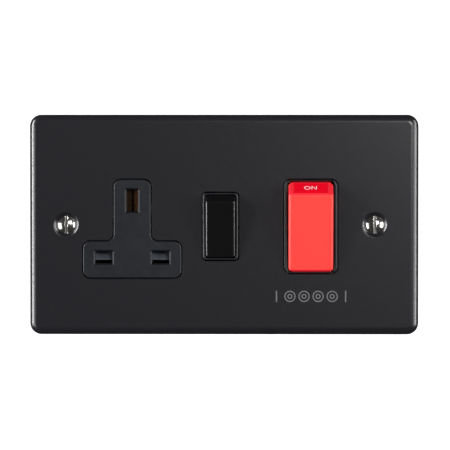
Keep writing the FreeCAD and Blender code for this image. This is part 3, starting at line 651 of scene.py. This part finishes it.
bm = bmesh.new()
panel_corners = ((-panel_half, panel_start), (panel_half, panel_start), (panel_half, panel_end),
                 (-panel_half, panel_end))
front = slope_ring(bm, panel_corners, panel_out)
back = slope_ring(bm, panel_corners, panel_back)
bm.faces.new(front)
bm.faces.new(list(reversed(back)))
bridge(bm, front, back)
turn_to_rest(bm, "cooker")
panel = piece("on_panel", bm, panel_painted_shade)
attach(panel, "cooker_rocker_body")

bm = bmesh.new()
letter_o = rectangle(o_left, o_right, -letters_far, -letters_near, o_radius)
outer, inner = (slope_ring(bm, [(p.x, -p.y) for p in outline(letter_o, inset, 8)], letters_out)
                for inset in (0, stroke))
bridge(bm, outer, inner)
for far_x, near_x, wide in ((n_left, n_left, stroke), (n_right - stroke, n_right - stroke, stroke),
                            (n_left, n_right - slant, slant)):
    bm.faces.new(slope_ring(bm, ((far_x, letters_far), (far_x + wide, letters_far),
                                 (near_x + wide, letters_near), (near_x, letters_near)), letters_out))
turn_to_rest(bm, "cooker")
letters = piece("on_mark", bm, on_white)
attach(letters, "cooker_rocker_body")

# Fixing screws: nickel-plated raised countersunk heads with one slot, upright in both, and a rolled
# thread behind the wall.
nickel = material("nickel_plate", (0.47, 0.455, 0.43), (0.45, 0.435, 0.41),
                  roughness=(0.13, 0.17), grain=(900, 0.05, 0.00003), metallic=1.0)
# The slot walls take a darker nickel than the head: painted shade inside the slots.
slot_nickel_painted_shade = material("slot_nickel_painted_shade", (0.20, 0.195, 0.185), (0.17, 0.165, 0.155),
                       roughness=(0.34, 0.42), grain=(900, 0.05, 0.00003), metallic=1.0)
screw_box = box_mm("fixing_screws")
screw_end = screw_box[HI].y
head_r = 3.5
head_top = screw_box[LO].y
head_dome = 0.9
dome_r = head_r - 0.04
dome_steps = 10
rim_high = 0.12
neck_r = 1.55
thread_r = 1.75
thread_core = 1.38
thread_pitch = 0.6
thread_flat = 0.05
thread_start = -0.1
end_chamfer = 0.4
slot_width = 0.95
slot_deep = 0.85
slot_half = 5


def lathe(bm, x, z, profile, steps=64):
    """A turned surface about an axis along Y, closed where the radius is nothing."""
    rings = []
    for radius, y in profile:
        if radius < 1e-6:
            rings.append([bm.verts.new((x, y, z))])
        else:
            rings.append(loop(bm, circle(x, z, radius, steps), y))
    for first, second in zip(rings, rings[1:]):
        if len(first) == 1 or len(second) == 1:
            tip, ring = (first[0], second) if len(first) == 1 else (second[0], first)
            for i in range(steps):
                bm.faces.new((tip, ring[i], ring[(i + 1) % steps]))
        else:
            bridge(bm, first, second)


def cut_slots(name, bm, places, width, y0, y1, half_long, finish, inside, cross=False):
    """Cuts one straight slot, or a cross, in each head with a boolean, its walls in a material of their own,
    which on the fixing screws is a darker nickel as painted shade.
    """
    body = piece(name, bm, finish, sharp_degrees=28)
    cutter = bmesh.new()
    for x, z in places:
        block(cutter, x - width / 2, x + width / 2, y0, y1, z - half_long, z + half_long)
        if cross:
            block(cutter, x - half_long, x + half_long, y0, y1, z - width / 2, z + width / 2)
    tool = piece(name + "_tool", cutter, inside)
    cut = body.modifiers.new("slot", "BOOLEAN")
    cut.operation = "DIFFERENCE"
    cut.solver = "EXACT"
    cut.material_mode = "TRANSFER"
    cut.use_self = True
    cut.object = tool
    body.modifiers.move(len(body.modifiers) - 1, 0)
    bpy.context.view_layer.update()
    cut_mesh = bpy.data.meshes.new_from_object(body.evaluated_get(bpy.context.evaluated_depsgraph_get()))
    body.modifiers.remove(cut)
    body.data = cut_mesh
    bpy.data.objects.remove(tool)
    return body


profile = []
for step in range(dome_steps + 1):
    across = step / dome_steps
    profile.append((dome_r * across, head_top + head_dome * across ** 2))
rim_y = head_top + head_dome + rim_high
profile += [(dome_r + rim_high * 0.3, rim_y - rim_high * 0.4), (dome_r, rim_y),
            (neck_r, rim_y + head_r - neck_r), (neck_r, thread_start)]
y = thread_start
while y < screw_end - 1.5 * thread_pitch:
    profile += [(thread_core, y + thread_flat), (thread_r, y + thread_pitch / 2),
                (thread_core, y + thread_pitch - thread_flat)]
    y += thread_pitch
profile += [(thread_core, screw_end - end_chamfer), (thread_core - end_chamfer, screw_end), (0, screw_end)]
bm = bmesh.new()
places = ((-screw_x, 0), (screw_x, 0))
for x, z in places:
    lathe(bm, x, z, profile)
screws = cut_slots("screws", bm, places, slot_width, head_top - 1, head_top + slot_deep, slot_half,
                   nickel, slot_nickel_painted_shade)
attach(screws, "casing")
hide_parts("fixing_screws")

# Mark below the cooker switch: a row of plain concentric rings between two bars, printed in grey.
# It stands where the photographed unit has a printed word.
print_grey = material("print_grey", (0.084, 0.082, 0.086), (0.075, 0.073, 0.077),
                      roughness=(0.56, 0.64), grain=(3000, 0.06, 0.00001))
mark_x = 35.4
mark_z = -28.0
print_out = 0.02
mark_y = plate_face_y - print_out
mark_half_high = 2.2
mark_half_wide = 13.75
bar_width = 0.5
ring_count = 4
ring_step = 5.5
ring_width = 0.42
inner_ring = 0.45
bm = bmesh.new()
for number in range(ring_count):
    x = mark_x + (number - (ring_count - 1) / 2) * ring_step
    for radius in (mark_half_high, mark_half_high * inner_ring):
        outer = loop(bm, circle(x, mark_z, radius, 48), mark_y)
        bridge(bm, outer, loop(bm, circle(x, mark_z, radius - ring_width, 48), mark_y))
z0, z1 = mark_z - mark_half_high, mark_z + mark_half_high
for side in (-1, 1):
    x0, x1 = sorted(mark_x + side * out for out in (mark_half_wide, mark_half_wide - bar_width))
    bm.faces.new([bm.verts.new((x, mark_y, z)) for x, z in ((x0, z0), (x1, z0), (x1, z1), (x0, z1))])
mark = piece("plate_mark", bm, print_grey)
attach(mark, "casing")

# Rear housing and the shutter's cover: matt black mouldings over the contacts. The housing is open at
# the top and bottom in line with the cable bores, and has a square hole behind each clamp screw.
housing_plastic = material("housing_plastic", (0.022, 0.022, 0.024), (0.018, 0.018, 0.020),
                           roughness=(0.47, 0.57), grain=(2600, 0.15, 0.00005))


def dress(nodes, finish):
    """Gives CAD nodes their finish and even shading, their meshes left as they are."""
    for node in nodes:
        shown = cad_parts[node]
        shown.data.materials.clear()
        shown.data.materials.append(finish)
        shown.modifiers.new("weld", "WELD").merge_threshold = 1e-6
        shown.modifiers.new("even_normals", "WEIGHTED_NORMAL").keep_sharp = True


dress(("rear_housing", "shutter_cover"), housing_plastic)

# Brass work: pressed strip for the busbars, arms and straps, and drilled blocks for the six
# terminals, a little dulled.
brass = material("brass_strip", (0.64, 0.43, 0.17), (0.54, 0.35, 0.14),
                 roughness=(0.26, 0.42), grain=(700, 0.08, 0.00004), metallic=1.0)
dress(("plate_earth_strap", "line_busbar", "neutral_busbar", "earth_bar", "socket_contact_arm"), brass)
dress([kind + pole for kind in ("cooker_arm_", "supply_strip_", "load_strip_")
       for pole in ("line", "neutral")], brass)
dress([kind + pole for kind in ("supply_terminal_", "load_terminal_")
       for pole in ("line", "neutral", "earth")], brass)

# Clips: leaves folded from brass strip, which grip the plug's three pins. They sit in the housing
# behind the socket's face, tarnished brown.
clip_brass = material("clip_brass", (0.26, 0.18, 0.11), (0.22, 0.15, 0.09),
                      roughness=(0.38, 0.46), grain=(700, 0.08, 0.00004), metallic=1.0)
dress(("earth_contact", "line_contact", "neutral_contact"), clip_brass)

# Contact tips: small rivets of silver alloy, on the arms and on the fixed strips where they meet.
# They are brighter than the brass round them.
silver = material("silver_tip", (0.80, 0.79, 0.76), (0.72, 0.71, 0.67),
                  roughness=(0.26, 0.34), grain=(1200, 0.05, 0.00002), metallic=1.0)
dress(("socket_moving_tip", "fixed_contact_tips", "cooker_moving_tip_line", "cooker_moving_tip_neutral"),
      silver)

# Springs and housing screws, both of zinc-plated steel: wound wire behind the plungers and the
# shutter, and two pan heads with a cross recess, which hold the housing to the moulding.
steel = material("zinc_steel", (0.50, 0.50, 0.48), (0.45, 0.45, 0.43),
                 roughness=(0.28, 0.36), grain=(1400, 0.06, 0.00002), metallic=1.0)
dress(("socket_plunger_spring", "cooker_spring_line", "cooker_spring_neutral", "shutter_spring"), steel)
case_box = box_mm("housing_screws")
case_front, case_back = case_box[LO].y, case_box[HI].y
pan_r = 2.4
pan_high = 1.6
pan_base = case_back - pan_high
shank_r = 1.25
recess_width = 0.7
recess_deep = 0.9
recess_half = 1.5
profile = [(0, case_front), (shank_r, case_front), (shank_r, pan_base), (pan_r - 0.1, pan_base),
           (pan_r, pan_base + 0.1), (pan_r, pan_base + 0.7), (pan_r - 0.25, pan_base + 1.2),
           (pan_r - 0.8, case_back - 0.06), (0, case_back)]
case_z = case_box[HI].z - pan_r
places = ((case_box[LO].x + pan_r, case_z), (case_box[HI].x - pan_r, -case_z))
bm = bmesh.new()
for x, z in places:
    lathe(bm, x, z, profile)
case_screws = cut_slots("case_screws", bm, places, recess_width, case_back - recess_deep, case_back + 1,
                        recess_half, steel, steel, cross=True)
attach(case_screws, "casing")
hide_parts("housing_screws")

# Clamp screws: grub screws turned from brass, with one slot. One stands in each of the six terminals
# and presses on the cable from behind.
clamp_brass = material("clamp_brass", (0.67, 0.48, 0.21), (0.59, 0.42, 0.18),
                       roughness=(0.25, 0.31), grain=(900, 0.06, 0.00002), metallic=1.0)
clamp_box = box_mm("clamp_screws")
clamp_front, clamp_back = clamp_box[LO].y, clamp_box[HI].y
clamp_r = 2.2
clamp_xs = (12.0, 29.8, 40.8)
clamp_chamfer = 0.3
clamp_slot_width = 0.8
clamp_slot_deep = 0.9
clamp_slot_half = 4
profile = [(0, clamp_front), (clamp_r - clamp_chamfer, clamp_front), (clamp_r, clamp_front + clamp_chamfer),
           (clamp_r, clamp_back - clamp_chamfer), (clamp_r - clamp_chamfer, clamp_back), (0, clamp_back)]
clamp_z = clamp_box[HI].z - clamp_r
places = [(x, z) for x in clamp_xs for z in (-clamp_z, clamp_z)]
bm = bmesh.new()
for x, z in places:
    lathe(bm, x, z, profile)
clamps = cut_slots("clamps", bm, places, clamp_slot_width, clamp_back - clamp_slot_deep, clamp_back + 1,
                   clamp_slot_half, clamp_brass, clamp_brass)
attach(clamps, "casing")
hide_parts("clamp_screws")

# Shutter and plungers: a dark sliding shutter behind the two lower slots, coloured a lighter grey-blue than
# its plastic as painted light against the shade deep in the slots, and natural nylon pins that press on the
# contact arms.
shutter_painted_light = material("shutter_painted_light", (0.125, 0.142, 0.168), (0.112, 0.128, 0.152),
                           roughness=(0.38, 0.46), grain=(2600, 0.10, 0.00003))
nylon = material("nylon", (0.76, 0.74, 0.68), (0.70, 0.68, 0.62),
                 roughness=(0.41, 0.49), grain=(1800, 0.06, 0.00002))
dress(("shutter",), shutter_painted_light)
dress(("socket_plunger", "cooker_plunger_line", "cooker_plunger_neutral"), nylon)

# Stage: a plain white sweep far behind and below, white for the camera and for reflections of what
# lies behind, and plain grey air elsewhere.
sweep_white = bpy.data.materials.new("sweep_white")
sweep_white.use_nodes = True
tree = sweep_white.node_tree
shader = tree.nodes["Principled BSDF"]
shader.inputs["Base Color"].default_value = (0.8, 0.8, 0.8, 1)
shader.inputs["Roughness"].default_value = 0.9
shader.inputs["Emission Color"].default_value = (1, 1, 1, 1)


def ray_is(tree, kinds):
    """One where a ray is of one of these kinds."""
    path = tree.nodes.new("ShaderNodeLightPath")
    total = path.outputs[kinds[0]]
    for kind in kinds[1:]:
        add = tree.nodes.new("ShaderNodeMath")
        add.operation = "MAXIMUM"
        tree.links.new(total, add.inputs[0])
        tree.links.new(path.outputs[kind], add.inputs[1])
        total = add.outputs[0]
    return total


tree.links.new(ray_is(tree, ("Is Camera Ray", "Is Glossy Ray", "Is Transmission Ray")),
               shader.inputs["Emission Strength"])
sweep_half = 2.4
sweep_start = 0.8
floor_z = -0.42
cove_y = 1.6
cove_r = 0.6
cove_steps = 8
sweep_top = 1.6
sweep_points = [(sweep_start, floor_z), (cove_y, floor_z)]
for step in range(1, cove_steps + 1):
    angle = math.pi / 2 * step / cove_steps
    sweep_points.append((cove_y + cove_r * math.sin(angle), floor_z + cove_r * (1 - math.cos(angle))))
sweep_points.append((cove_y + cove_r, sweep_top))
bm = bmesh.new()
rows = [[bm.verts.new((x, y, z)) for y, z in sweep_points] for x in (-sweep_half, sweep_half)]
for i in range(len(sweep_points) - 1):
    bm.faces.new((rows[0][i], rows[1][i], rows[1][i + 1], rows[0][i + 1]))
mesh = bpy.data.meshes.new("sweep")
bm.to_mesh(mesh)
bm.free()
mesh.materials.append(sweep_white)
sweep = bpy.data.objects.new("sweep", mesh)
bpy.context.scene.collection.objects.link(sweep)

air_level = 0.06
world = bpy.data.worlds.new("studio_air")
bpy.context.scene.world = world
world.use_nodes = True
tree = world.node_tree
air = tree.nodes["Background"]
air.inputs["Color"].default_value = (1, 1, 1, 1)
level = tree.nodes.new("ShaderNodeMapRange")
level.inputs["To Min"].default_value = air_level
level.inputs["To Max"].default_value = 1.0
tree.links.new(ray_is(tree, ("Is Camera Ray", "Is Transmission Ray")), level.inputs["Value"])
tree.links.new(level.outputs["Result"], air.inputs["Strength"])

# Lamps: a tall soft box at each side, whose light runs down both ends of the plate, a broad one in
# front at each side, and a small key above and to the right. Each has place, width, height and watts.
lamps = (
    ("side_left", (-0.80, -0.32, 0.14), 0.16, 0.8, 17.5),
    ("side_right", (0.80, -0.32, 0.14), 0.16, 0.8, 8.7),
    ("front_left", (-0.92, -0.80, -0.20), 0.45, 0.7, 5.0),
    ("front_right", (0.92, -0.80, -0.05), 0.40, 0.6, 4.6),
    ("key", (0.33, -0.97, 0.22), 0.3, 0.3, 3.8),
)
for name, place, width, height, power in lamps:
    light = bpy.data.lights.new(name, "AREA")
    light.shape = "RECTANGLE"
    light.size = width
    light.size_y = height
    light.energy = power
    lamp = bpy.data.objects.new(name, light)
    lamp.location = place
    lamp.rotation_euler = (-Vector(place)).to_track_quat("-Z", "Y").to_euler()
    bpy.context.scene.collection.objects.link(lamp)

# Camera: a long lens almost square in front of the plate, a little above and to the right of its
# middle, with the photograph's scale.
camera_distance = 1.4
azimuth = math.radians(0.8)
rise = math.radians(1.8)
aim = Vector((0.37, 0, -0.10))
picture_width = 450
pixels_per_mm = 2.560
sensor = 36.0
camera_data = bpy.data.cameras.new("camera")
camera_data.sensor_width = sensor
camera_data.lens = sensor * pixels_per_mm * camera_distance / MM / picture_width
camera = bpy.data.objects.new("camera", camera_data)
plate_middle = Vector(((plate_box[LO].x + plate_box[HI].x) / 2, plate_face_y, 0))
away = Vector((math.sin(azimuth) * math.cos(rise), -math.cos(azimuth) * math.cos(rise), math.sin(rise)))
camera.location = (plate_middle + aim) * MM + away * camera_distance
camera.rotation_euler = (-away).to_track_quat("-Z", "Y").to_euler()
bpy.context.scene.collection.objects.link(camera)
bpy.context.scene.camera = camera
bpy.context.scene.view_settings.view_transform = "Standard"
